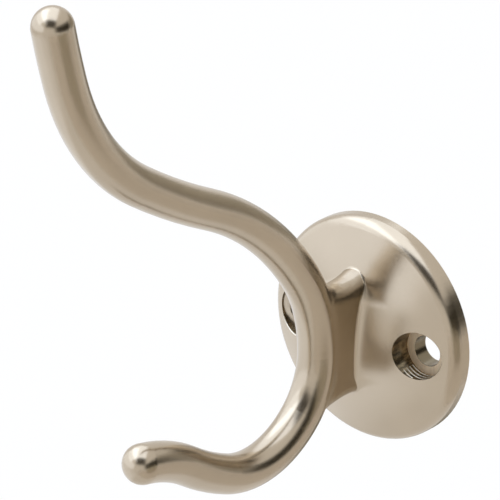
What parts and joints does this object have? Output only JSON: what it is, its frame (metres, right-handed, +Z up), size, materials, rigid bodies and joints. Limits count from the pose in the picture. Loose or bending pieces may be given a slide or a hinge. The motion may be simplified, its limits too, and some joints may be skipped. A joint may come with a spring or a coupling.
{
  "type": "double robe hook",
  "caption": "Wall hook cast in one piece: a domed round wall plate with screw holes, a short neck and an S-shaped round bar with a tall upper arm and a short lower prong.",
  "frame": {"origin": "centre of the plate's flat back, on the wall", "axes": "+Z up, -Y out of the wall towards the user, +X to the right for someone who faces the wall"},
  "size_m": [0.0444, 0.0889, 0.1094],
  "materials": {
    "satin_nickel": "satin nickel plating on a casting, brushed by hand"
  },
  "bodies": {
    "root": {"robe_hook": "satin_nickel"}
  },
  "joints": []
}
